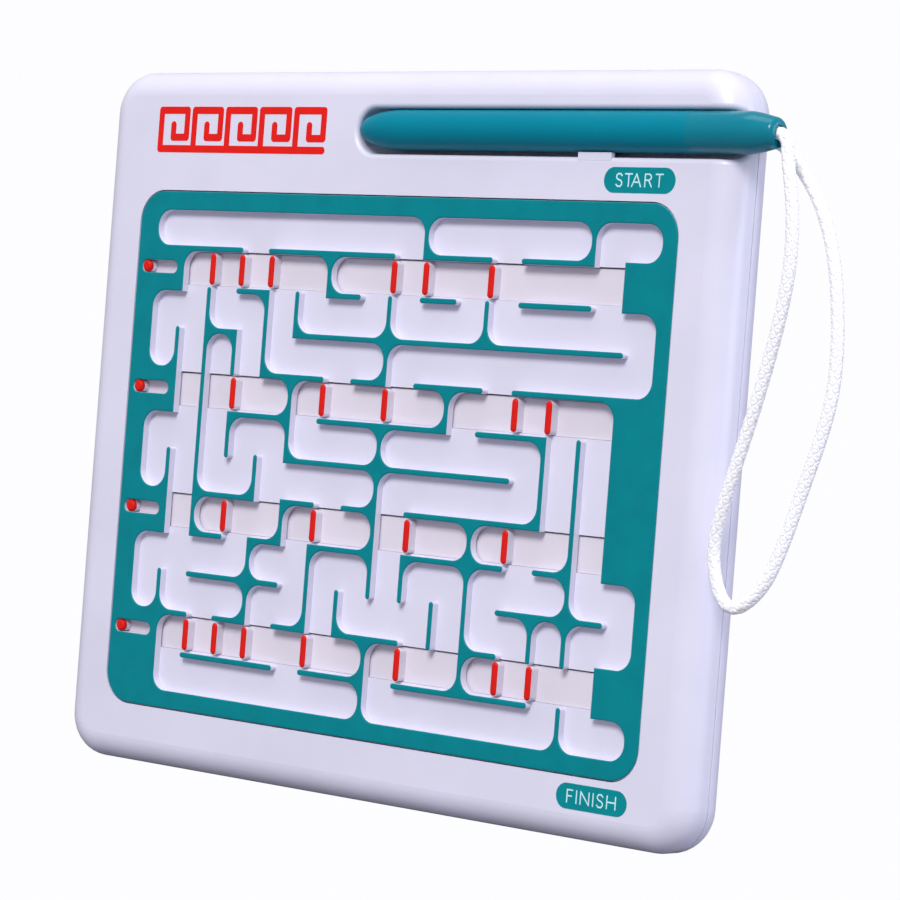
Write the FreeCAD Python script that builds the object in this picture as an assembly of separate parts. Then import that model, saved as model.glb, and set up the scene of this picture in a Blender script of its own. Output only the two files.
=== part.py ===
import FreeCAD, Part

import math
import os

# Handheld stylus maze with four sliding wall bars.
# Frame: the toy stands upright. +X runs to the player's right, +Z up, and +Y into the body.
# Every y in this file is a depth behind the front face of the case. On export all nodes move
# forward by ORIGIN_DEPTH, which puts the origin in the middle of the flat bottom edge.
# All sizes are in millimetres.

V = FreeCAD.Vector

# ---------------------------------------------------------------- driving dimensions
PITCH = 7.75                # side of one square maze cell
COLUMNS = 16
ROWS = 12

CASE_WIDTH = 152.9
CASE_HEIGHT = 133.75
CASE_THICKNESS = 12.4
CASE_CORNER = 8.2           # corner radius seen from the front
FRONT_ROUNDING = 4.8        # edge radius between the face and the sides
BACK_ROUNDING = 5.0
PARTING_DEPTH = 7.0         # where the front case meets the back cover
PARTING_GROOVE = 0.2        # width and depth of the fine groove along the parting line
ORIGIN_DEPTH = 5.6
FACE_WALL = 2.2
SIDE_WALL = 2.2
BACK_WALL = 2.0

GRID_LEFT = -60.8           # x of the first maze line
GRID_TOP = 107.35           # z of the first maze line

# maze panel, measured in depth from the face of the case
PANEL_TOP = -0.05           # the panel is all but flush with the face
GROOVE_DEPTH = 1.6
FLOOR_THICKNESS = 1.4
WALL_THICKNESS = 1.06
CORNER_FILLET = 3.1         # rounding of the corridors' blind corners
EDGE_ROUNDING = 0.3         # soft top edge of every wall
FOIL_WRAP = 0.18            # how far the coloured cap reaches down the rounded edges
PANEL_CORNER = 6.0
PANEL_GAP = 0.2             # shadow gap around the panel
FLANGE_WIDTH = 1.5
FLANGE_TOP = 2.3
FLANGE_BOTTOM = 3.5
PRINT_THICKNESS = 0.04      # pad-printed ink films

# slider bars and the windows they show through
BAR_STEP = 0.4              # the bars' floor lies this much below the fixed floor
BAR_UPPER_GAP = 0.62        # from a row's upper line to the bar's upper edge
BAR_LOWER_GAP = 0.87        # from the bar's lower edge to the row's lower line
WINDOW_UPPER_GAP = 0.35
WINDOW_LOWER_GAP = 0.82
WINDOW_LEFT = -0.47         # ends of the windows, in cells
WINDOW_RIGHT = 16.28
BAR_LEFT = -0.42            # ends of the bars at their left-hand stop, in cells
BAR_RIGHT = 15.3
BAR_FLANGE_HEIGHT = 9.0
BAR_FLANGE_TOP = 3.05
BAR_FLANGE_BOTTOM = 4.05
RED_WALL_THICKNESS = 1.45
RED_WALL_LENGTH = 6.0
RED_WALL_TOP = -0.1
RED_WALL_ROUNDING = 0.45
RED_WALL_CAP = 0.3          # depth of the red cap on each cross wall
TAB_RADIUS = 1.1
TAB_ROUNDING = 0.5
TAB_CAP = 0.9
TAB_RISE = 0.155            # the tabs sit this much above the middle of their row
SLOT_RADIUS = 1.2
SLIDER_TRAVEL = 7.1

# parts behind the panel
RIB_BOTTOM = 4.15
# Ribs behind the panel: row of the middle, half width.
RIBS = ((0.35, 2.2), (3.0, 3.0), (6.0, 3.0), (9.0, 3.0), (11.75, 1.5))
RETAINER_BOTTOM = 5.55
RETAINER_SCREW_RADIUS = 1.0
RETAINER_HEAD_RADIUS = 1.9
RETAINER_HEAD_HEIGHT = 1.1
CASE_SCREW_RADIUS = 1.1
CASE_SCREW_HEAD_RADIUS = 2.1
CASE_SCREW_HEAD_HEIGHT = 1.5
CASE_SCREW_SIDE = 70.1      # x of the case screws, left and right
SCREW_CLEARANCE = 0.05      # in the pilot holes
SHANK_CLEARANCE = 0.15      # where a shank passes through
HEAD_CLEARANCE = 0.25       # around the case screws' sunk heads
HEAD_ROUNDING = 0.45        # of the head's height
RECESS_REACH = 0.55         # half length of the cross recess, of the head's radius
RECESS_HALF_WIDTH = 0.3
RECESS_FLOOR = 0.4          # of the head's height
BOSS_RADIUS = 2.5
SLEEVE_RADIUS = 3.75
HEAD_SEAT = 9.4             # depth at which the case screws' heads sit
POST_RADIUS = 2.2           # posts that press the retainer home
POST_X = 50.0

# stylus and its channel
STYLUS_RADIUS = 3.65
STYLUS_DEPTH = 1.3          # depth of the stylus axis below the face
STYLUS_Z = 122.7
STYLUS_TIP = -9.85
STYLUS_NOSE = 10.4          # length of the pointed end
NOSE_FULLNESS = 1.9         # exponents of the pointed end's curve
NOSE_BLUNTNESS = 2.4
STYLUS_SEAM = 67.05         # where the end cap begins
STYLUS_END = 84.6
CHANNEL_RADIUS = 4.18
CHANNEL_Z = 122.35
CHANNEL_LEFT = -10.05
CHANNEL_WALL = 1.2
CHANNEL_LIP = 0.9           # rounding where the channel meets the face
CAP_PLUG_RADIUS = 2.2
CAP_PLUG_LENGTH = 5.0
PLUG_CLEARANCE = 0.03
PLUG_END_GAP = 0.3
# Outline of the end cap: distance before its end, radius.
CAP_TAPER = ((6.8, STYLUS_RADIUS), (5.3, 3.58), (3.9, 3.35), (2.3, 3.0), (1.0, 2.7))
CAP_RIM = ((0.3, 2.35), (0.0, 1.7))
CAP_BORE_DEPTH = 8.0
CAP_NOTCH_DEPTH = 1.2       # the lower lip is cut away this far for the cord
CLIP_X = 42.7               # clip tab on the channel's lower lip
CLIP_LENGTH = 7.4
CLIP_THICKNESS = 1.0
CLIP_HEIGHT = 1.4
CLIP_RISE = 0.8             # how far the tab stands above the channel's lower edge

# cord
CORD_RADIUS = 1.1
CORD_HOLE_RADIUS = 1.3
BEND_SHARE = 0.45           # share of a straight run that the arc at its end takes up
ANCHOR = V(76.45, 8.6, 122.1)
KNOT_X = 71.7
KNOT_RING_RADIUS = 0.75
KNOT_RING_THICKNESS = 0.95
KNOT_BULB_RADIUS = 1.5

# ---------------------------------------------------------------- maze layout, in cells
# Rows count down from the top, columns count to the right.
SLIDER_ROWS = (1, 4, 7, 10)
SOLID_CELLS = [(0, row) for row in (1, 4, 7, 10, 11)] + [(15, row) for row in (1, 4, 5, 6, 7, 10)]

# line number below the top edge: runs of wall from column line to column line
HORIZONTAL_WALLS = {
    1: ((0, 3), (4, 8), (9, 11), (12, 14)),
    2: ((3, 4), (6, 7), (9, 10), (12, 14)),
    3: ((2, 3), (5, 15)),
    4: ((4, 6), (7, 8), (9, 11), (12, 16)),
    5: ((3, 5), (6, 10), (11, 13)),
    6: ((5, 12),),
    7: ((2, 4), (5, 6), (7, 8), (9, 13)),
    8: ((2, 3), (4, 5), (6, 8), (9, 12), (13, 14)),
    9: ((2, 5), (12, 15)),
    10: ((1, 2), (3, 4), (5, 6), (7, 9), (11, 12)),
    11: ((2, 5), (6, 8), (9, 13)),
}
# line number right of the left edge: runs of wall from row line to row line
VERTICAL_WALLS = {
    1: ((3, 4), (6, 7), (9, 10)),
    2: ((2, 8),),
    3: ((3, 4), (5, 6)),
    4: ((2, 4), (6, 7), (8, 10)),
    5: ((2, 3), (4, 6), (7, 8)),
    6: ((1, 2), (8, 10)),
    7: ((9, 10),),
    8: ((2, 4), (5, 9), (10, 12)),
    9: ((0, 1), (8, 9)),
    10: ((4, 5), (9, 10)),
    11: ((2, 3), (7, 11)),
    13: ((5, 7), (9, 10)),
    14: ((0, 1), (5, 10), (11, 12)),
}
# column lines where each slider carries a red wall, in the left-hand position
RED_WALLS = {1: (2, 3, 4, 8, 9, 11), 4: (3, 6, 8, 12, 13), 7: (3, 6, 9, 12), 10: (2, 3, 4, 6, 9, 12, 13)}
RED_WALL_SHIFT = 0.5        # the red walls rest a little to the right of their line
TAB_COLUMN = -0.25          # tab at the left-hand stop
# how far each bar rests to the right of its left-hand stop
REST_SHIFT = {1: 0.0, 4: 0.13, 7: 0.4, 10: 0.15}


def column_x(column):
    return GRID_LEFT + column * PITCH


def row_z(row):
    return GRID_TOP - row * PITCH


FLOOR = PANEL_TOP + GROOVE_DEPTH
PANEL_BACK = FLOOR + FLOOR_THICKNESS
BAR_TOP = FLOOR + BAR_STEP
PANEL_BOX = (column_x(-0.575), column_x(16.35), row_z(12.37), row_z(-0.4))
CASE_BOX = (-CASE_WIDTH / 2, CASE_WIDTH / 2, 0.0, CASE_HEIGHT)


# ---------------------------------------------------------------- flat outlines in the plane y = 0
def face(edges):
    return Part.Face(Part.Wire(edges))


def polygon(points):
    corners = [V(x, 0, z) for x, z in points]
    return Part.Face(Part.makePolygon(corners + corners[:1]))


def rectangle(x0, x1, z0, z1):
    return polygon([(x0, z0), (x1, z0), (x1, z1), (x0, z1)])


def rounded_rectangle(x0, x1, z0, z1, radius):
    corners = [(x1, z1, 0), (x0, z1, 90), (x0, z0, 180), (x1, z0, 270)]
    arcs = []
    for x, z, start in corners:
        cx = x - radius if x == x1 else x + radius
        cz = z - radius if z == z1 else z + radius
        along = [math.radians(start + turn) for turn in (0, 45, 90)]
        points = [V(cx + radius * math.cos(a), 0, cz + radius * math.sin(a)) for a in along]
        arcs.append(points)
    edges = []
    for index, points in enumerate(arcs):
        edges.append(Part.Arc(*points).toShape())
        following = arcs[(index + 1) % 4][0]
        edges.append(Part.makeLine(points[2], following))
    return face(edges)


def grown(box, amount):
    x0, x1, z0, z1 = box
    return (x0 - amount, x1 + amount, z0 - amount, z1 + amount)


def disc(x, z, radius):
    return face([Part.makeCircle(radius, V(x, 0, z), V(0, 1, 0))])


def stadium(x0, z0, x1, z1, radius):
    length = math.hypot(x1 - x0, z1 - z0)
    ux, uz = (x1 - x0) / length * radius, (z1 - z0) / length * radius
    a, b = V(x0 - uz, 0, z0 + ux), V(x1 - uz, 0, z1 + ux)
    c, d = V(x1 + uz, 0, z1 - ux), V(x0 + uz, 0, z0 - ux)
    far, near = V(x1 + ux, 0, z1 + uz), V(x0 - ux, 0, z0 - uz)
    edges = [Part.makeLine(a, b), Part.Arc(b, far, c).toShape(), Part.makeLine(c, d), Part.Arc(d, near, a).toShape()]
    return face(edges)


def corner_web(x, z, sx, sz, half, radius):
    """The web that rounds the corner between two walls meeting at a grid node."""
    reach = half + radius
    tip = reach - radius / math.sqrt(2)
    a, b = V(x + sx * reach, 0, z + sz * half), V(x + sx * half, 0, z + sz * reach)
    points = [V(x, 0, z + sz * reach), V(x, 0, z), V(x + sx * reach, 0, z)]
    edges = [Part.makeLine(b, points[0]), Part.makeLine(points[0], points[1])]
    edges += [Part.makeLine(points[1], points[2]), Part.makeLine(points[2], a)]
    edges.append(Part.Arc(a, V(x + sx * tip, 0, z + sz * tip), b).toShape())
    return face(edges)


def slab(shape, top, bottom):
    """Extrude a flat outline from one depth to another."""
    return shape.translated(V(0, top, 0)).extrude(V(0, bottom - top, 0))


def fused(shapes):
    return shapes[0].multiFuse(shapes[1:]).removeSplitter()


def cylinder_y(x, z, radius, top, bottom):
    return Part.makeCylinder(radius, bottom - top, V(x, top, z), V(0, 1, 0))


# ---------------------------------------------------------------- maze walls
def in_runs(runs, index):
    return any(start <= index < end for start, end in runs)


def solid_cell(column, row):
    return (column, row) in SOLID_CELLS or not (0 <= column < COLUMNS and 0 <= row < ROWS)


def closed_side(column, row, side):
    """True if a wall, the frame or a solid cell closes one side (-1 left, +1 right) of a cell."""
    line = column + (side > 0)
    return solid_cell(column + side, row) or in_runs(VERTICAL_WALLS.get(line, ()), row)


def closed_level(column, row, level):
    """The same for the upper (-1) and lower (+1) sides of a cell."""
    line = row + (level > 0)
    return solid_cell(column, row + level) or in_runs(HORIZONTAL_WALLS.get(line, ()), column)


def corner_webs(half, radius):
    webs = []
    for column in range(COLUMNS):
        for row in range(ROWS):
            if solid_cell(column, row):
                continue
            for side in (-1, 1):
                for level in (-1, 1):
                    if closed_side(column, row, side) and closed_level(column, row, level):
                        x, z = column_x(column + (side > 0)), row_z(row + (level > 0))
                        webs.append(corner_web(x, z, -side, level, half, radius))
    return webs


def wall_block():
    """The frame and all walls, from the floor up to their softened top edges."""
    half = WALL_THICKNESS / 2
    opening = rectangle(column_x(0) + half, column_x(COLUMNS) - half, row_z(ROWS) + half, row_z(0) - half)
    pieces = [rounded_rectangle(*PANEL_BOX, PANEL_CORNER).cut(opening)]
    for column, row in SOLID_CELLS:
        cell = (column_x(column), column_x(column + 1), row_z(row + 1), row_z(row))
        pieces.append(rectangle(*grown(cell, half)))
    nodes = {}
    for line, runs in HORIZONTAL_WALLS.items():
        for start, end in runs:
            pieces.append(stadium(column_x(start), row_z(line), column_x(end), row_z(line), half))
            for column in range(start, end + 1):
                nodes.setdefault((column, line), set()).add("across")
    for line, runs in VERTICAL_WALLS.items():
        for start, end in runs:
            pieces.append(stadium(column_x(line), row_z(start), column_x(line), row_z(end), half))
            for row in range(start, end + 1):
                nodes.setdefault((line, row), set()).add("down")
    for (column, row), directions in nodes.items():
        if len(directions) == 2:
            x, z = column_x(column), row_z(row)
            pieces.append(rectangle(x - half, x + half, z - half, z + half))
    pieces += corner_webs(half, CORNER_FILLET)
    slots = [slab(tab_slot(row), PANEL_TOP, FLOOR) for row in SLIDER_ROWS]
    walls = fused([slab(piece, PANEL_TOP, FLOOR) for piece in pieces]).cut(Part.makeCompound(slots))
    return soften_top(walls, PANEL_TOP, EDGE_ROUNDING)


def soften_top(shape, level, radius):
    """Round every edge that lies in the top plane."""
    edges = [edge for edge in shape.Edges if abs(edge.BoundBox.YMin - level) < 1e-6
             and abs(edge.BoundBox.YMax - level) < 1e-6]
    return shape.makeFillet(radius, edges)


def above(level):
    """Everything in front of one depth."""
    reach = CASE_WIDTH
    return Part.makeBox(2 * reach, 50, 2 * reach, V(-reach, level - 50, -reach / 2))


def tab_centre(row):
    return column_x(TAB_COLUMN), row_z(row + 0.5) + TAB_RISE


def tab_slot(row):
    x, z = tab_centre(row)
    return stadium(x, z, x + SLIDER_TRAVEL, z, SLOT_RADIUS)


# ---------------------------------------------------------------- maze panel
def screw_spots():
    return [(column_x(column), row_z(row)) for row in (3, 6, 9) for column in (1.5, 8.5, 14.5)]


def panel_ribs():
    ribs = []
    for row, half in RIBS:
        z = row_z(row)
        ribs.append(slab(rectangle(column_x(0), column_x(16), z - half, z + half), PANEL_BACK, RIB_BOTTOM))
    return ribs


def make_maze_panel(walls):
    lower_walls = walls.cut(above(PANEL_TOP + FOIL_WRAP))
    base = slab(rounded_rectangle(*PANEL_BOX, PANEL_CORNER), FLOOR, PANEL_BACK)
    flange = slab(rounded_rectangle(*grown(PANEL_BOX, FLANGE_WIDTH), PANEL_CORNER + FLANGE_WIDTH),
                  FLANGE_TOP, FLANGE_BOTTOM)
    cavity = slab(rounded_rectangle(*grown(PANEL_BOX, -0.1), PANEL_CORNER - 0.1), FLANGE_TOP, FLANGE_BOTTOM)
    skirt = flange.cut(cavity)
    windows = []
    for row in SLIDER_ROWS:
        bottom, top = row_z(row + 1) + WINDOW_LOWER_GAP, row_z(row) - WINDOW_UPPER_GAP
        outline = rectangle(column_x(WINDOW_LEFT), column_x(WINDOW_RIGHT), bottom, top)
        windows.append(slab(outline, FLOOR, PANEL_BACK))
    base = base.cut(Part.makeCompound(windows))
    holes = [cylinder_y(x, z, RETAINER_SCREW_RADIUS + SCREW_CLEARANCE, FLOOR + 0.7, RIB_BOTTOM)
             for x, z in screw_spots()]
    return fused([lower_walls, base, skirt] + panel_ribs()).cut(Part.makeCompound(holes))


def make_maze_print(walls):
    """The coloured cap on the frame and walls."""
    return walls.common(above(PANEL_TOP + FOIL_WRAP))


# ---------------------------------------------------------------- slider bars
def standing_pieces(row):
    """The bar's cross walls and its tab, each with the depth of its red cap."""
    pieces = []
    z = row_z(row + 0.5) + 0.05
    reach = (RED_WALL_LENGTH - RED_WALL_THICKNESS) / 2
    for column in RED_WALLS[row]:
        x = column_x(column) + RED_WALL_SHIFT
        wall = slab(stadium(x, z - reach, x, z + reach, RED_WALL_THICKNESS / 2), RED_WALL_TOP, BAR_TOP)
        pieces.append((soften_top(wall, RED_WALL_TOP, RED_WALL_ROUNDING), RED_WALL_CAP))
    x, z = tab_centre(row)
    tab = cylinder_y(x + REST_SHIFT[row], z, TAB_RADIUS, RED_WALL_TOP, BAR_TOP)
    pieces.append((soften_top(tab, RED_WALL_TOP, TAB_ROUNDING), TAB_CAP))
    return pieces


def make_slider(row, standing):
    bottom, top = row_z(row + 1) + BAR_LOWER_GAP, row_z(row) - BAR_UPPER_GAP
    middle, half = (bottom + top) / 2, BAR_FLANGE_HEIGHT / 2
    left, right = column_x(BAR_LEFT) + REST_SHIFT[row], column_x(BAR_RIGHT) + REST_SHIFT[row]
    pieces = [slab(rectangle(left, right, bottom, top), BAR_TOP, BAR_FLANGE_TOP)]
    pieces.append(slab(rectangle(left, right, middle - half, middle + half), BAR_FLANGE_TOP, BAR_FLANGE_BOTTOM))
    pieces += [piece.cut(above(RED_WALL_TOP + cap)) for piece, cap in standing]
    return fused(pieces)


def make_slider_print(standing):
    """Red caps on one slider's walls and tab."""
    return Part.makeCompound([piece.common(above(RED_WALL_TOP + cap)) for piece, cap in standing])


def make_retainer():
    plate = slab(rectangle(column_x(-0.3), column_x(16.1), row_z(12.0), row_z(-0.05)), RIB_BOTTOM, RETAINER_BOTTOM)
    holes = [cylinder_y(x, z, RETAINER_SCREW_RADIUS + SHANK_CLEARANCE, RIB_BOTTOM, RETAINER_BOTTOM) for x, z in screw_spots()]
    return plate.cut(Part.makeCompound(holes))


# ---------------------------------------------------------------- screws
def make_screw(x, z, seat, shank_radius, tip, head_radius, head_height):
    """Pan-head screw driven from behind, with a cross recess."""
    shank = cylinder_y(x, z, shank_radius, tip, seat)
    head = cylinder_y(x, z, head_radius, seat, seat + head_height)
    rim = [edge for edge in head.Edges if abs(edge.BoundBox.YMin - seat - head_height) < 1e-6]
    head = head.makeFillet(head_height * HEAD_ROUNDING, rim)
    reach = head_radius * RECESS_REACH
    depth = seat + head_height * RECESS_FLOOR
    arms = ((reach, RECESS_HALF_WIDTH), (RECESS_HALF_WIDTH, reach))
    cross = [Part.makeBox(2 * a, head_height, 2 * b, V(x - a, depth, z - b)) for a, b in arms]
    return shank.fuse(head).removeSplitter().cut(Part.makeCompound(cross))


def make_retainer_screws():
    screws = []
    for x, z in screw_spots():
        screws.append(make_screw(x, z, RETAINER_BOTTOM, RETAINER_SCREW_RADIUS, FLOOR + 0.8,
                                 RETAINER_HEAD_RADIUS, RETAINER_HEAD_HEIGHT))
    return Part.makeCompound(screws)


def case_screw_spots():
    left = [(-CASE_SCREW_SIDE, z) for z in (12.5, 64.5, 118.5)]
    right = [(CASE_SCREW_SIDE, z) for z in (12.5, 60.5, 106.5)]
    return left + right


def make_case_screws():
    screws = []
    for x, z in case_screw_spots():
        screws.append(make_screw(x, z, HEAD_SEAT, CASE_SCREW_RADIUS, FACE_WALL + 1.0,
                                 CASE_SCREW_HEAD_RADIUS, CASE_SCREW_HEAD_HEIGHT))
    return Part.makeCompound(screws)


# ---------------------------------------------------------------- case
def outer_shell(top, bottom, rounding, rounded_level):
    block = slab(rounded_rectangle(*CASE_BOX, CASE_CORNER), top, bottom)
    edges = [edge for edge in block.Edges if abs(edge.BoundBox.YMin - rounded_level) < 1e-6
             and abs(edge.BoundBox.YMax - rounded_level) < 1e-6]
    return block.makeFillet(rounding, edges)


def channel_solid(radius, left, top):
    """U-shaped trough for the stylus: round below the axis, straight-sided up to the face."""
    centre = V(left, STYLUS_DEPTH, CHANNEL_Z)
    right = CASE_WIDTH / 2 + 5
    trough = Part.makeCylinder(radius, right - left, centre, V(1, 0, 0))
    end = Part.makeSphere(radius, centre)
    mouth = slab(stadium(left, CHANNEL_Z, right, CHANNEL_Z, radius), top, STYLUS_DEPTH)
    return trough.fuse([end, mouth])


def carve_channel(block):
    """Cut the stylus channel and round its lip, all the way around the open end."""
    carved = block.cut(channel_solid(CHANNEL_RADIUS, CHANNEL_LEFT + CHANNEL_RADIUS, -10.0)).removeSplitter()
    lip = [edge for edge in carved.Edges if abs(edge.BoundBox.YMax) < 1e-6
           and abs(edge.BoundBox.ZMin - CHANNEL_Z) < CHANNEL_RADIUS + 0.01
           and abs(edge.BoundBox.ZMax - CHANNEL_Z) < CHANNEL_RADIUS + 0.01]
    return carved.makeFillet(CHANNEL_LIP, lip)


def make_front_case():
    carved = carve_channel(outer_shell(0.0, PARTING_DEPTH, FRONT_ROUNDING, 0.0))
    inner_box = grown(CASE_BOX, -SIDE_WALL)
    cavity = slab(rounded_rectangle(*inner_box, CASE_CORNER - SIDE_WALL), FACE_WALL, PARTING_DEPTH)
    jacket = channel_solid(CHANNEL_RADIUS + CHANNEL_WALL, CHANNEL_LEFT + CHANNEL_RADIUS, 0.5)
    bosses = [cylinder_y(x, z, BOSS_RADIUS, FACE_WALL - 0.5, PARTING_DEPTH - 0.05) for x, z in case_screw_spots()]
    case = fused([carved.cut(cavity.cut(jacket))] + bosses)
    panel_hole = slab(rounded_rectangle(*grown(PANEL_BOX, PANEL_GAP), PANEL_CORNER + PANEL_GAP), -1.0, FACE_WALL + 1)
    pilots = [cylinder_y(x, z, CASE_SCREW_RADIUS + SCREW_CLEARANCE, FACE_WALL + 0.8, PARTING_DEPTH)
              for x, z in case_screw_spots()]
    groove_box = grown(CASE_BOX, -PARTING_GROOVE)
    groove_top = PARTING_DEPTH - PARTING_GROOVE
    groove = slab(rounded_rectangle(*grown(CASE_BOX, 1.0), CASE_CORNER), groove_top, PARTING_DEPTH)
    groove = groove.cut(slab(rounded_rectangle(*groove_box, CASE_CORNER - PARTING_GROOVE), 0.0, PARTING_DEPTH))
    case = case.cut(Part.makeCompound([panel_hole, groove] + pilots))
    clip = Part.makeBox(CLIP_LENGTH, CLIP_THICKNESS, CLIP_HEIGHT,
                        V(CLIP_X, 0.0, CHANNEL_Z - CHANNEL_RADIUS - CLIP_HEIGHT + CLIP_RISE))
    return case.fuse(clip).removeSplitter()


def make_back_cover():
    outer = outer_shell(PARTING_DEPTH, CASE_THICKNESS, BACK_ROUNDING, CASE_THICKNESS)
    inner_box = grown(CASE_BOX, -SIDE_WALL)
    floor = CASE_THICKNESS - BACK_WALL
    cavity = slab(rounded_rectangle(*inner_box, CASE_CORNER - SIDE_WALL), PARTING_DEPTH, floor)
    sleeves = [cylinder_y(x, z, SLEEVE_RADIUS, PARTING_DEPTH, floor + 0.5) for x, z in case_screw_spots()]
    posts = [cylinder_y(x, z, POST_RADIUS, RETAINER_BOTTOM + 0.1, floor + 0.5)
             for x in (-POST_X, POST_X) for z in (row_z(1.5), row_z(10.5))]
    cover = fused([outer.cut(cavity)] + sleeves + posts)
    cuts = [cylinder_y(x, z, CASE_SCREW_RADIUS + SHANK_CLEARANCE, PARTING_DEPTH, HEAD_SEAT) for x, z in case_screw_spots()]
    cuts += [cylinder_y(x, z, CASE_SCREW_HEAD_RADIUS + HEAD_CLEARANCE, HEAD_SEAT, CASE_THICKNESS)
             for x, z in case_screw_spots()]
    cuts.append(Part.makeCylinder(CORD_HOLE_RADIUS, 8, ANCHOR + V(-5, 0, 0), V(1, 0, 0)))
    return cover.cut(Part.makeCompound(cuts))


# ---------------------------------------------------------------- stylus
def turned(profile_edges):
    """Solid of revolution about the stylus axis."""
    return face(profile_edges).revolve(V(0, STYLUS_DEPTH, STYLUS_Z), V(1, 0, 0), 360)


def axis_point(x, radius):
    return V(x, STYLUS_DEPTH, STYLUS_Z + radius)


def spline(points):
    curve = Part.BSplineCurve()
    curve.interpolate(points)
    return curve.toShape()


def nose_point(fraction):
    """Point of the blunt ogive, at a fraction of the nose's length from the tip."""
    radius = STYLUS_RADIUS * (1 - (1 - fraction) ** NOSE_FULLNESS) ** (1 / NOSE_BLUNTNESS)
    return axis_point(STYLUS_TIP + fraction * STYLUS_NOSE, radius)


def make_stylus_barrel():
    steps = 10
    points = [nose_point((step / steps) ** 2) for step in range(steps + 1)]
    shoulder = axis_point(STYLUS_SEAM, STYLUS_RADIUS)
    end = axis_point(STYLUS_SEAM, 0)
    profile = [spline(points), Part.makeLine(points[-1], shoulder)]
    profile += [Part.makeLine(shoulder, end), Part.makeLine(end, points[0])]
    barrel = turned(profile)
    socket_depth = CAP_PLUG_LENGTH + PLUG_END_GAP
    socket = Part.makeCylinder(CAP_PLUG_RADIUS + PLUG_CLEARANCE, socket_depth,
                               axis_point(STYLUS_SEAM - socket_depth, 0), V(1, 0, 0))
    return barrel.cut(socket)


def make_stylus_cap():
    """Tapered end cap with a plug at the front, a bore for the cord and a cut-away lower lip."""
    points = [axis_point(STYLUS_END - back, radius) for back, radius in CAP_TAPER]
    shoulder = points[0]
    rim = [points[-1]] + [axis_point(STYLUS_END - back, radius) for back, radius in CAP_RIM]
    front = axis_point(STYLUS_SEAM, 0)
    edge = axis_point(STYLUS_SEAM, STYLUS_RADIUS)
    end = axis_point(STYLUS_END, 0)
    profile = [Part.makeLine(front, edge), Part.makeLine(edge, shoulder), spline(points), Part.Arc(*rim).toShape()]
    profile += [Part.makeLine(rim[-1], end), Part.makeLine(end, front)]
    cap = turned(profile)
    plug = Part.makeCylinder(CAP_PLUG_RADIUS, CAP_PLUG_LENGTH + 0.5,
                             axis_point(STYLUS_SEAM - CAP_PLUG_LENGTH, 0), V(1, 0, 0))
    bore = Part.makeCylinder(CORD_HOLE_RADIUS, CAP_BORE_DEPTH + 1, axis_point(STYLUS_END - CAP_BORE_DEPTH, 0),
                             V(1, 0, 0))
    notch = Part.makeBox(CAP_NOTCH_DEPTH + 1, 2 * CORD_HOLE_RADIUS, 2 * STYLUS_RADIUS,
                         V(STYLUS_END - CAP_NOTCH_DEPTH, STYLUS_DEPTH - CORD_HOLE_RADIUS, STYLUS_Z - 2 * STYLUS_RADIUS))
    return cap.fuse(plug).removeSplitter().cut(Part.makeCompound([bore, notch]))


# ---------------------------------------------------------------- cord
# The loop from the anchor hole behind the stylus down the side and up into the end cap.
CORD_PATH = (
    (73.3, 8.6, 122.1), (76.5, 8.6, 122.1), (79.6, 8.5, 121.5), (82.0, 8.1, 119.9), (88.8, 6.9, 113.0),
    (93.5, 6.0, 104.2), (96.3, 5.2, 92.6), (97.0, 4.3, 79.6), (93.7, 3.3, 65.0), (90.0, 2.2, 52.0),
    (86.9, 1.5, 46.0), (82.7, 1.0, 43.3), (78.1, 0.8, 51.2), (79.2, 0.3, 58.6), (83.6, 0.0, 73.0),
    (87.5, 0.0, 87.8), (89.6, 0.0, 102.6), (88.1, 0.5, 114.0), (86.7, 0.9, 119.6), (86.0, 1.1, 121.7),
    (84.6, 1.3, 122.6), (82.4, 1.3, 122.7), (79.8, 1.3, 122.7),
)


def rounded_wire(points):
    """Straight runs joined by tangent arcs; an arc takes up most of the shorter run at its bend."""
    edges = []
    start = points[0]
    for before, corner, after in zip(points, points[1:], points[2:]):
        back = before - corner
        ahead = after - corner
        reach = min(back.Length, ahead.Length) * BEND_SHARE
        back.normalize()
        ahead.normalize()
        half_angle = back.getAngle(ahead) / 2
        inward = back + ahead
        inward.normalize()
        arc_start = corner + back * reach
        arc_middle = corner + inward * (reach * (1 - math.sin(half_angle)) / math.cos(half_angle))
        arc_end = corner + ahead * reach
        edges.append(Part.makeLine(start, arc_start))
        edges.append(Part.Arc(arc_start, arc_middle, arc_end).toShape())
        start = arc_end
    edges.append(Part.makeLine(start, points[-1]))
    return Part.Wire(edges)


def make_cord():
    path = [V(*point) for point in CORD_PATH]
    section = Part.Wire([Part.makeCircle(CORD_RADIUS, path[0], path[1] - path[0])])
    return rounded_wire(path).makePipeShell([section], True, False)


def make_cord_knot():
    """Stopper knot inside the back cover."""
    centre = V(KNOT_X, ANCHOR.y, ANCHOR.z)
    ring = Part.makeTorus(KNOT_RING_RADIUS, KNOT_RING_THICKNESS, centre, V(1, 0, 0))
    bulb = Part.makeSphere(KNOT_BULB_RADIUS, centre)
    return ring.fuse(bulb).removeSplitter()


# ---------------------------------------------------------------- printed labels
PILL_LENGTH = 15.55
PILL_HEIGHT = 4.46
LETTER_HEIGHT = 2.15
STROKE = 0.26
START_CENTRE = (column_x(15.16), row_z(-0.89))
FINISH_CENTRE = (column_x(15.15), row_z(12.84))

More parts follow.
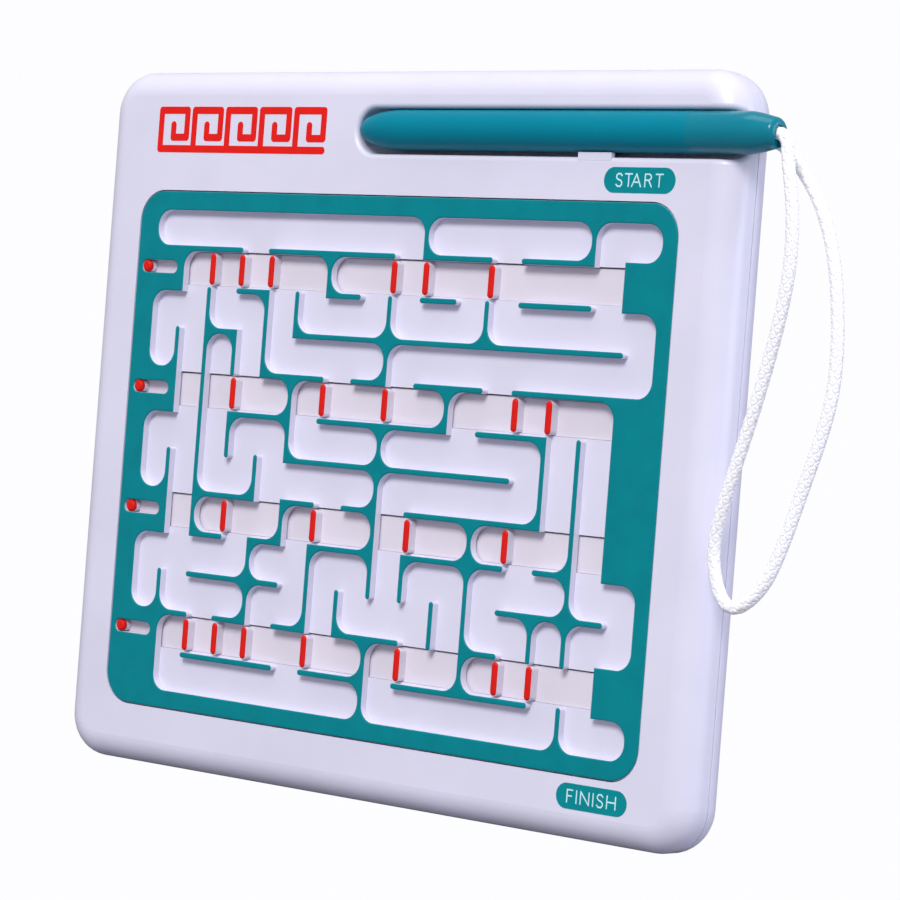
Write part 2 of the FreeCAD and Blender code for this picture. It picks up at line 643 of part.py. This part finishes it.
# Each letter: its width and its pen strokes, on a box one unit high.
LETTERS = {
    "S": (0.58, (((0.56, 0.86), (0.42, 1.0), (0.16, 1.0), (0.02, 0.86), (0.02, 0.68), (0.16, 0.56), (0.43, 0.47),
                  (0.57, 0.33), (0.57, 0.15), (0.42, 0.0), (0.14, 0.0), (0.0, 0.14)),)),
    "T": (0.69, (((0.0, 1.0), (0.69, 1.0)), ((0.345, 1.0), (0.345, 0.0)))),
    "A": (0.9, (((0.0, 0.0), (0.45, 1.0), (0.9, 0.0)), ((0.16, 0.35), (0.74, 0.35)))),
    "R": (0.67, (((0.0, 0.0), (0.0, 1.0), (0.42, 1.0), (0.6, 0.86), (0.6, 0.66), (0.42, 0.52), (0.0, 0.52)),
                 ((0.36, 0.52), (0.67, 0.0)))),
    "F": (0.55, (((0.0, 0.0), (0.0, 1.0), (0.55, 1.0)), ((0.0, 0.52), (0.46, 0.52)))),
    "I": (0.0, (((0.0, 0.0), (0.0, 1.0)),)),
    "N": (0.86, (((0.0, 0.0), (0.0, 1.0), (0.86, 0.0), (0.86, 1.0)),)),
    "H": (0.86, (((0.0, 0.0), (0.0, 1.0)), ((0.86, 0.0), (0.86, 1.0)), ((0.0, 0.52), (0.86, 0.52)))),
}
LETTER_GAP = 0.42
CLOSER_PAIRS = {"ST": 0.09, "TA": 0.42}


def letter_starts(word):
    """Left edge of each letter, in units of the letter height, and the whole width."""
    starts = []
    x = 0.0
    for index, letter in enumerate(word):
        starts.append(x)
        x += LETTERS[letter][0] + LETTER_GAP - CLOSER_PAIRS.get(word[index:index + 2], 0.0)
    return starts, x - LETTER_GAP


def word_glyphs(word, centre):
    """Flat outlines of a word's letters in plain single-stroke capitals."""
    starts, width = letter_starts(word)
    left = centre[0] - width * LETTER_HEIGHT / 2
    base = centre[1] - LETTER_HEIGHT / 2
    glyphs = []
    for letter, start in zip(word, starts):
        pieces = []
        for stroke in LETTERS[letter][1]:
            points = [(left + (start + u) * LETTER_HEIGHT, base + v * LETTER_HEIGHT) for u, v in stroke]
            for (x0, z0), (x1, z1) in zip(points, points[1:]):
                pieces.append(stadium(x0, z0, x1, z1, STROKE / 2))
        glyphs.append(fused(pieces) if len(pieces) > 1 else pieces[0])
    return glyphs


def make_label(centre, word):
    x, z = centre
    reach = (PILL_LENGTH - PILL_HEIGHT) / 2
    pill = stadium(x - reach, z, x + reach, z, PILL_HEIGHT / 2).cut(Part.makeCompound(word_glyphs(word, centre)))
    return slab(pill, -PRINT_THICKNESS, 0.0)


def make_lettering(centre, word):
    return Part.makeCompound([slab(glyph, -PRINT_THICKNESS, 0.0) for glyph in word_glyphs(word, centre)])


EMBLEM_COUNT = 5
EMBLEM_STEP = 9.0
EMBLEM_RISE = 7.4
EMBLEM_STROKE = 1.4
# Corners of one square spiral, in steps across and rises up.
EMBLEM_SPIRAL = ((0.0, 0.0), (0.0, 1.0), (0.78, 1.0), (0.78, 0.3), (0.38, 0.3), (0.38, 0.62))


def make_emblem():
    """Plain red meander strip: a square spiral repeated along the top of the face."""
    left, base = column_x(-0.1), row_z(-1.45)
    pieces = []
    for index in range(EMBLEM_COUNT):
        start = left + index * EMBLEM_STEP
        points = [(start + u * EMBLEM_STEP, base + v * EMBLEM_RISE) for u, v in EMBLEM_SPIRAL]
        for (x0, z0), (x1, z1) in zip(points, points[1:]):
            pieces.append(stadium(x0, z0, x1, z1, EMBLEM_STROKE / 2))
    right = start + EMBLEM_SPIRAL[2][0] * EMBLEM_STEP
    pieces.append(stadium(left, base, right, base, EMBLEM_STROKE / 2))
    return slab(fused(pieces), -PRINT_THICKNESS, 0.0)


# ---------------------------------------------------------------- all nodes
def build_nodes():
    walls = wall_block()
    nodes = {
        "front_case": make_front_case(),
        "back_cover": make_back_cover(),
        "case_screws": make_case_screws(),
        "maze_panel": make_maze_panel(walls),
        "maze_print": make_maze_print(walls),
        "slider_retainer": make_retainer(),
        "retainer_screws": make_retainer_screws(),
        "stylus_barrel": make_stylus_barrel(),
        "stylus_end_cap": make_stylus_cap(),
        "cord": make_cord(),
        "cord_knot": make_cord_knot(),
        "start_label": make_label(START_CENTRE, "START"),
        "start_lettering": make_lettering(START_CENTRE, "START"),
        "finish_label": make_label(FINISH_CENTRE, "FINISH"),
        "finish_lettering": make_lettering(FINISH_CENTRE, "FINISH"),
        "emblem_print": make_emblem(),
    }
    for number, row in enumerate(SLIDER_ROWS, start=1):
        standing = standing_pieces(row)
        nodes["slider_%d" % number] = make_slider(row, standing)
        nodes["slider_%d_print" % number] = make_slider_print(standing)
    return nodes


os.makedirs("parts", exist_ok=True)
for name, shape in build_nodes().items():
    shape = shape.translated(V(0, -ORIGIN_DEPTH, 0))
    shape.exportStep("parts/%s.step" % name)
    print("%-20s solids %d  valid %s  volume %.1f" % (name, len(shape.Solids), shape.isValid(), shape.Volume))
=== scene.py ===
import math

import bpy
import numpy as np
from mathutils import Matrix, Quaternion, Vector


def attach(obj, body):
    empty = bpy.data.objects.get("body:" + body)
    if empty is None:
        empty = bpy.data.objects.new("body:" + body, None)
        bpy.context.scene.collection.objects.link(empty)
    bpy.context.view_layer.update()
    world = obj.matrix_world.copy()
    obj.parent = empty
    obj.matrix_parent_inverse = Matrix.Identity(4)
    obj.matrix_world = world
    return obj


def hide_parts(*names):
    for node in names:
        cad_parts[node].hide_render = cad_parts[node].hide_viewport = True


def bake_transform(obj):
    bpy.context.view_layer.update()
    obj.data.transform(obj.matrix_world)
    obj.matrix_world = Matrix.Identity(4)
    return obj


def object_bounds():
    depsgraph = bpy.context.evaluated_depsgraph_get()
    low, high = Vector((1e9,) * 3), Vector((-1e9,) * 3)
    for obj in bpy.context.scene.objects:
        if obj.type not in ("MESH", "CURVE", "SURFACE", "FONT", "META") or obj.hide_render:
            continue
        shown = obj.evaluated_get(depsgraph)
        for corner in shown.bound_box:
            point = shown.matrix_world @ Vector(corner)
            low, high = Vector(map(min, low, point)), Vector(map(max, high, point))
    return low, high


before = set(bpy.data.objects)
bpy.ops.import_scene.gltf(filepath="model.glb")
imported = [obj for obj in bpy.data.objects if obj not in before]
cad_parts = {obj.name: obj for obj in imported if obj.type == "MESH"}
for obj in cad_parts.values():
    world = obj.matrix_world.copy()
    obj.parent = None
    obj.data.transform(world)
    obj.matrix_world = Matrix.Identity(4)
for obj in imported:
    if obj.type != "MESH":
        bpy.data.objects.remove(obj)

cad_low, cad_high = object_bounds()
MM = 0.001

# ---------------------------------------------------------------- camera
VIEW_AZIMUTH = math.radians(41.09)      # from the right of straight ahead
VIEW_ELEVATION = math.radians(0.70)
VIEW_ROLL = math.radians(4.41)
VIEW_DISTANCE = 625.9 * MM
VIEW_LENS = 140.35
AIM = Vector((18.5, -5.6, 65.45)) * MM  # point of the face in the middle of the picture


def direction(azimuth, elevation):
    """Unit vector from the toy towards a viewer or a lamp; azimuth 0 is straight in front."""
    flat = math.cos(elevation)
    return Vector((math.sin(azimuth) * flat, -math.cos(azimuth) * flat, math.sin(elevation)))


def make_camera():
    data = bpy.data.cameras.new("camera")
    data.lens = VIEW_LENS
    data.sensor_width = 36.0
    data.clip_start = 0.01
    data.clip_end = 20.0
    camera = bpy.data.objects.new("camera", data)
    bpy.context.scene.collection.objects.link(camera)
    back = direction(VIEW_AZIMUTH, VIEW_ELEVATION)
    camera.location = AIM + back * VIEW_DISTANCE
    look = (-back).to_track_quat("-Z", "Y")
    camera.rotation_mode = "QUATERNION"
    camera.rotation_quaternion = look @ Quaternion((0, 0, 1), VIEW_ROLL)
    bpy.context.scene.camera = camera


# ---------------------------------------------------------------- lights and stage
BACKDROP_COLOUR = (0.985, 0.985, 1.0, 1.0)
SOFT_COLOUR = (0.93, 0.93, 1.0, 1.0)
SOFT_STRENGTH = 0.45
FLOOR_COLOUR = (0.25, 0.25, 0.28, 1.0)
FLOOR_HALF_SIZE = 6.0
FLOOR_DROP = 0.5 * MM           # the floor lies this much under the toy

# Softboxes: azimuth and elevation in degrees, distance, width and height in metres, watts, colour.
LAMPS = {
    "key_softbox": (22.0, 38.0, 3.2, 1.25, 1.1, 88.0, (1.0, 0.98, 0.985)),
    "side_fill": (120.0, 2.0, 1.5, 1.0, 1.3, 18.0, (0.78, 0.82, 1.0)),
    "top_softbox": (-10.0, 80.0, 0.8, 0.6, 0.4, 1.5, (0.97, 0.97, 1.0)),
}


def make_lamp(name, azimuth, elevation, distance, width, height, power, colour):
    data = bpy.data.lights.new(name, "AREA")
    data.shape = "RECTANGLE"
    data.size = width
    data.size_y = height
    data.energy = power
    data.color = colour
    lamp = bpy.data.objects.new(name, data)
    bpy.context.scene.collection.objects.link(lamp)
    towards = direction(math.radians(azimuth), math.radians(elevation))
    lamp.location = AIM + towards * distance
    lamp.rotation_mode = "QUATERNION"
    lamp.rotation_quaternion = (-towards).to_track_quat("-Z", "Y")


def make_world():
    world = bpy.data.worlds.new("studio")
    bpy.context.scene.world = world
    world.use_nodes = True
    tree = world.node_tree
    tree.nodes.clear()
    out = tree.nodes.new("ShaderNodeOutputWorld")
    mix = tree.nodes.new("ShaderNodeMixShader")
    path = tree.nodes.new("ShaderNodeLightPath")
    soft = tree.nodes.new("ShaderNodeBackground")
    seen = tree.nodes.new("ShaderNodeBackground")
    soft.inputs["Color"].default_value = SOFT_COLOUR
    soft.inputs["Strength"].default_value = SOFT_STRENGTH
    seen.inputs["Color"].default_value = BACKDROP_COLOUR
    seen.inputs["Strength"].default_value = 1.0
    tree.links.new(path.outputs["Is Camera Ray"], mix.inputs["Fac"])
    tree.links.new(soft.outputs["Background"], mix.inputs[1])
    tree.links.new(seen.outputs["Background"], mix.inputs[2])
    tree.links.new(mix.outputs["Shader"], out.inputs["Surface"])


def make_floor():
    """Pale studio floor, bright enough to fade into the backdrop."""
    size = FLOOR_HALF_SIZE
    mesh = bpy.data.meshes.new("studio_floor")
    level = cad_low.z - FLOOR_DROP
    corners = [(-size, -size, level), (size, -size, level), (size, size, level), (-size, size, level)]
    mesh.from_pydata(corners, [], [(0, 1, 2, 3)])
    floor = bpy.data.objects.new("studio_floor", mesh)
    bpy.context.scene.collection.objects.link(floor)
    mesh.materials.append(floor_material())


def floor_material():
    """To the camera as bright as the backdrop; to the toy a dim floor that hardly lights it from below."""
    material, tree, shader, out = new_material("studio_floor")
    shader.inputs["Base Color"].default_value = FLOOR_COLOUR
    shader.inputs["Roughness"].default_value = 0.9
    glow = tree.nodes.new("ShaderNodeEmission")
    glow.inputs["Color"].default_value = BACKDROP_COLOUR
    path = tree.nodes.new("ShaderNodeLightPath")
    mix = tree.nodes.new("ShaderNodeMixShader")
    tree.links.new(path.outputs["Is Camera Ray"], mix.inputs["Fac"])
    tree.links.new(shader.outputs["BSDF"], mix.inputs[1])
    tree.links.new(glow.outputs["Emission"], mix.inputs[2])
    tree.links.new(mix.outputs["Shader"], out.inputs["Surface"])
    return material


# ---------------------------------------------------------------- material building blocks
def new_material(name):
    material = bpy.data.materials.new(name)
    material.use_nodes = True
    tree = material.node_tree
    tree.nodes.clear()
    out = tree.nodes.new("ShaderNodeOutputMaterial")
    shader = tree.nodes.new("ShaderNodeBsdfPrincipled")
    tree.links.new(shader.outputs["BSDF"], out.inputs["Surface"])
    return material, tree, shader, out


def noise(tree, scale, detail):
    """Noise in object space, in features per metre."""
    place = tree.nodes.new("ShaderNodeTexCoord")
    texture = tree.nodes.new("ShaderNodeTexNoise")
    texture.inputs["Scale"].default_value = scale
    texture.inputs["Detail"].default_value = detail
    tree.links.new(place.outputs["Object"], texture.inputs["Vector"])
    return texture.outputs["Fac"]


def spread(tree, value, low, high):
    """Map a noise value around one half to a range."""
    ramp = tree.nodes.new("ShaderNodeMapRange")
    ramp.inputs["From Min"].default_value = 0.3
    ramp.inputs["From Max"].default_value = 0.7
    ramp.inputs["To Min"].default_value = low
    ramp.inputs["To Max"].default_value = high
    tree.links.new(value, ramp.inputs["Value"])
    return ramp.outputs["Result"]


def shade_of(tree, value, dark, light):
    mix = tree.nodes.new("ShaderNodeMix")
    mix.data_type = "RGBA"
    mix.inputs["A"].default_value = (*dark, 1.0)
    mix.inputs["B"].default_value = (*light, 1.0)
    tree.links.new(value, mix.inputs["Factor"])
    return mix.outputs["Result"]


def bump(tree, height, distance):
    node = tree.nodes.new("ShaderNodeBump")
    node.inputs["Distance"].default_value = distance
    node.inputs["Strength"].default_value = 1.0
    tree.links.new(height, node.inputs["Height"])
    return node.outputs["Normal"]


def plastic(name, colour, roughness, variation=0.03, grain=0.004 * MM, shine=0.5):
    """Moulded plastic: faint flow mottling, fine grain and slightly uneven gloss."""
    material, tree, shader = new_material(name)[:3]
    dark = [c * (1 - variation) for c in colour]
    light = [min(c * (1 + variation), 1.0) for c in colour]
    mottling = spread(tree, noise(tree, 60.0, 4.0), 0.0, 1.0)
    tree.links.new(shade_of(tree, mottling, dark, light), shader.inputs["Base Color"])
    gloss = spread(tree, noise(tree, 350.0, 3.0), roughness - 0.04, roughness + 0.05)
    tree.links.new(gloss, shader.inputs["Roughness"])
    shader.inputs["IOR"].default_value = 1.49
    shader.inputs["Specular IOR Level"].default_value = shine
    fine = bump(tree, noise(tree, 9000.0, 2.0), grain)
    tree.links.new(fine, shader.inputs["Normal"])
    return material


def foil(name, colour, roughness, shine=0.12):
    """Hot-stamped foil or ink: even colour with faint pressure marks and pinprick texture."""
    material, tree, shader = new_material(name)[:3]
    marks = spread(tree, noise(tree, 220.0, 5.0), 0.0, 1.0)
    tree.links.new(shade_of(tree, marks, [c * 0.94 for c in colour], [c * 1.05 for c in colour]),
                   shader.inputs["Base Color"])
    tree.links.new(spread(tree, noise(tree, 700.0, 3.0), roughness - 0.05, roughness + 0.06),
                   shader.inputs["Roughness"])
    shader.inputs["Specular IOR Level"].default_value = shine
    tree.links.new(bump(tree, noise(tree, 5000.0, 2.0), 0.003 * MM), shader.inputs["Normal"])
    return material


def cord_fibre():
    """White polyester yarn: soft sheen and fine filaments along the strands."""
    material, tree, shader = new_material("cord_braid")[:3]
    filaments = spread(tree, noise(tree, 2600.0, 4.0), 0.0, 1.0)
    tone = shade_of(tree, filaments, (0.90, 0.90, 0.93), (0.96, 0.96, 0.98))
    tree.links.new(tone, shader.inputs["Base Color"])
    shader.inputs["Roughness"].default_value = 0.62
    shader.inputs["Sheen Weight"].default_value = 0.25
    shader.inputs["Sheen Roughness"].default_value = 0.4
    tree.links.new(bump(tree, noise(tree, 9000.0, 3.0), 0.012 * MM), shader.inputs["Normal"])
    return material


def zinc():
    """Zinc-plated screw steel with faint turning marks."""
    material, tree, shader = new_material("screw_steel")[:3]
    shader.inputs["Metallic"].default_value = 1.0
    tone = spread(tree, noise(tree, 900.0, 4.0), 0.0, 1.0)
    tree.links.new(shade_of(tree, tone, (0.50, 0.50, 0.53), (0.66, 0.66, 0.68)), shader.inputs["Base Color"])
    tree.links.new(spread(tree, noise(tree, 1800.0, 3.0), 0.24, 0.4), shader.inputs["Roughness"])
    tree.links.new(bump(tree, noise(tree, 6000.0, 2.0), 0.01 * MM), shader.inputs["Normal"])
    return material


# ---------------------------------------------------------------- finishes of the CAD nodes
def finish_nodes():
    case = plastic("white_plastic", (0.70, 0.69, 0.82), 0.34)
    panel = plastic("panel_plastic", (0.70, 0.69, 0.82), 0.42)
    bars = plastic("slider_plastic", (0.70, 0.66, 0.74), 0.42)
    inner = plastic("inner_plastic", (0.66, 0.65, 0.74), 0.5)
    stylus = plastic("stylus_plastic", (0.0, 0.20, 0.285), 0.34, variation=0.04, grain=0.001 * MM, shine=0.1)
    cap = plastic("stylus_cap_plastic", (0.0, 0.19, 0.26), 0.2, variation=0.04, grain=0.001 * MM, shine=0.3)
    teal = foil("teal_foil", (0.0, 0.215, 0.25), 0.42)
    red = foil("red_foil", (0.68, 0.012, 0.008), 0.36)
    teal_ink = foil("teal_ink", (0.0, 0.24, 0.27), 0.45)
    pale_ink = foil("pale_ink", (0.55, 0.80, 0.84), 0.45)
    red_ink = foil("red_ink", (0.75, 0.012, 0.008), 0.45)
    steel = zinc()
    finishes = {
        "front_case": case, "back_cover": case, "maze_panel": panel, "slider_retainer": inner,
        "case_screws": steel, "retainer_screws": steel, "maze_print": teal,
        "stylus_barrel": stylus, "stylus_end_cap": cap,
        "start_label": teal_ink, "finish_label": teal_ink, "emblem_print": red_ink,
        "start_lettering": pale_ink, "finish_lettering": pale_ink,
    }
    for number in (1, 2, 3, 4):
        finishes["slider_%d" % number] = bars
        finishes["slider_%d_print" % number] = red
    for node, material in finishes.items():
        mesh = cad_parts[node].data
        mesh.materials.clear()
        mesh.materials.append(material)


# ---------------------------------------------------------------- braided cord
FACE_DEPTH = 5.6                # the case's face lies this many millimetres in front of the row frame's origin
CORD_RADIUS = 1.15 * MM
CORE_RADIUS = 1.01 * MM
YARNS_EACH_WAY = 8
LAY_LENGTH = 9.2 * MM           # one full turn of a yarn
YARN_WIDTH = 0.40 * MM
YARN_HEIGHT = 0.16 * MM
WEAVE_RISE = 0.06 * MM          # how far a yarn dives under and over its neighbours
SAMPLES_PER_TURN = 48
DENSE_SAMPLES = 4000            # for measuring the curve's length
YARN_SIDES = 6
CORE_SIDES = 16


def cord_centreline():
    """Points of the loop from the anchor hole down and back up into the stylus, in metres."""
    path = [(73.3, 8.6, 122.1), (76.5, 8.6, 122.1), (79.6, 8.5, 121.5), (82.0, 8.1, 119.9), (88.8, 6.9, 113.0),
            (93.5, 6.0, 104.2), (96.3, 5.2, 92.6), (97.0, 4.3, 79.6), (93.7, 3.3, 65.0), (90.0, 2.2, 52.0),
            (86.9, 1.5, 46.0), (82.7, 1.0, 43.3), (78.1, 0.8, 51.2), (79.2, 0.3, 58.6), (83.6, 0.0, 73.0),
            (87.5, 0.0, 87.8), (89.6, 0.0, 102.6), (88.1, 0.5, 114.0), (86.7, 0.9, 119.6), (86.0, 1.1, 121.7),
            (84.6, 1.3, 122.6), (82.4, 1.3, 122.7), (79.8, 1.3, 122.7)]
    return np.array([(x, y - FACE_DEPTH, z) for x, y, z in path]) * MM


def smooth_curve(points, count):
    """Natural cubic spline through the points, sampled evenly along its length."""
    chord = np.concatenate([[0.0], np.cumsum(np.linalg.norm(np.diff(points, axis=0), axis=1))])
    h = np.diff(chord)
    size = len(points)
    system = np.eye(size)
    right = np.zeros_like(points)
    for i in range(1, size - 1):
        system[i, i - 1:i + 2] = (h[i - 1], 2 * (h[i - 1] + h[i]), h[i])
        right[i] = 6 * ((points[i + 1] - points[i]) / h[i] - (points[i] - points[i - 1]) / h[i - 1])
    second = np.linalg.solve(system, right)

    def at(values):
        k = np.clip(np.searchsorted(chord, values, side="right") - 1, 0, size - 2)
        a = ((chord[k + 1] - values) / h[k])[:, None]
        b = 1 - a
        bend = ((a ** 3 - a) * second[k] + (b ** 3 - b) * second[k + 1]) * (h[k] ** 2)[:, None] / 6
        return a * points[k] + b * points[k + 1] + bend

    dense = at(np.linspace(0, chord[-1], DENSE_SAMPLES))
    length = np.concatenate([[0.0], np.cumsum(np.linalg.norm(np.diff(dense, axis=0), axis=1))])
    even = np.linspace(0, length[-1], count)
    return np.stack([np.interp(even, length, dense[:, axis]) for axis in range(3)], 1), length[-1]


def parallel_frames(line):
    """Tangent and two normals along a curve, without twist."""
    tangent = np.gradient(line, axis=0)
    tangent /= np.linalg.norm(tangent, axis=1)[:, None]
    normal = np.zeros_like(tangent)
    start = np.cross(tangent[0], (0.0, 1.0, 0.0))
    normal[0] = start / np.linalg.norm(start)
    for i in range(1, len(line)):
        carried = normal[i - 1] - tangent[i] * np.dot(normal[i - 1], tangent[i])
        normal[i] = carried / np.linalg.norm(carried)
    return tangent, normal, np.cross(tangent, normal)


def yarn_path(line, normal, binormal, along, hand, index):
    """Centre of one yarn: a helix that rises over one crossing yarn and dives under the next."""
    turn = hand * (2 * math.pi * along / LAY_LENGTH) + 2 * math.pi * index / YARNS_EACH_WAY
    crossings = YARNS_EACH_WAY * along / LAY_LENGTH
    phase = 2 * math.pi * crossings + (math.pi if hand < 0 else 0.0) + hand * math.pi * index
    radius = CORD_RADIUS - YARN_HEIGHT - WEAVE_RISE + WEAVE_RISE * np.sin(phase)
    return line + (normal * np.cos(turn)[:, None] + binormal * np.sin(turn)[:, None]) * radius[:, None]


def sweep(centre, outward, half_width, half_height, sides):
    """Oval rings along a path, flat side outward."""
    tangent = np.gradient(centre, axis=0)
    tangent /= np.linalg.norm(tangent, axis=1)[:, None]
    side = np.cross(tangent, outward)
    side /= np.linalg.norm(side, axis=1)[:, None]
    up = np.cross(side, tangent)
    rings = []
    for k in range(sides):
        a = 2 * math.pi * k / sides
        rings.append(centre + side * math.cos(a) * half_width + up * math.sin(a) * half_height)
    return np.stack(rings, 1)


def tube_faces(base, count, sides):
    """Faces between neighbouring rings and a cap at each end, for rings stored from a base index."""
    faces = []
    for i in range(base, base + (count - 1) * sides, sides):
        for k in range(sides):
            n = (k + 1) % sides
            faces.append((i + k, i + n, i + sides + n, i + sides + k))
    last = base + (count - 1) * sides
    faces.append(tuple(reversed(range(base, base + sides))))
    faces.append(tuple(range(last, last + sides)))
    return faces


def make_strand(name, tubes, first, end, material):
    """One length of the braid: the same stretch of every yarn and of the core."""
    vertices, faces = [], []
    base = 0
    for rings in tubes:
        stretch = rings[first:end]
        count, sides = stretch.shape[:2]
        vertices.append(stretch.reshape(-1, 3))
        faces += tube_faces(base, count, sides)
        base += count * sides
    mesh = bpy.data.meshes.new(name)
    mesh.from_pydata(np.concatenate(vertices).tolist(), [], faces)
    mesh.polygons.foreach_set("use_smooth", [True] * len(mesh.polygons))
    mesh.materials.append(material)
    strand = bpy.data.objects.new(name, mesh)
    bpy.context.scene.collection.objects.link(strand)
    return strand


def make_cord():
    """The back strand bends from its anchor in the case to the loop's bottom; the front follows the stylus."""
    length = smooth_curve(cord_centreline(), 2)[1]
    count = int(length / LAY_LENGTH * SAMPLES_PER_TURN)
    line = smooth_curve(cord_centreline(), count)[0]
    tangent, normal, binormal = parallel_frames(line)
    along = np.linspace(0, length, count)
    tubes = []
    for hand in (1, -1):
        for index in range(YARNS_EACH_WAY):
            centre = yarn_path(line, normal, binormal, along, hand, index)
            tubes.append(sweep(centre, centre - line, YARN_WIDTH, YARN_HEIGHT, YARN_SIDES))
    tubes.append(sweep(line, normal, CORE_RADIUS, CORE_RADIUS, CORE_SIDES))
    fibre = cord_fibre()
    bottom = int(np.argmin(line[:, 2]))
    back = make_strand("cord_back_strand", tubes, 0, bottom + 1, fibre)
    front = make_strand("cord_front_strand", tubes, bottom, count, fibre)
    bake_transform(back)
    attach(front, "stylus")
    for strand in (back, front):
        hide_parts("cord")
    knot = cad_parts["cord_knot"].data
    knot.materials.clear()
    knot.materials.append(fibre)


# ---------------------------------------------------------------- scene
bpy.context.scene.view_settings.view_transform = "Standard"
make_camera()
make_world()
make_floor()
for lamp_name, setting in LAMPS.items():
    make_lamp(lamp_name, *setting)
finish_nodes()
make_cord()
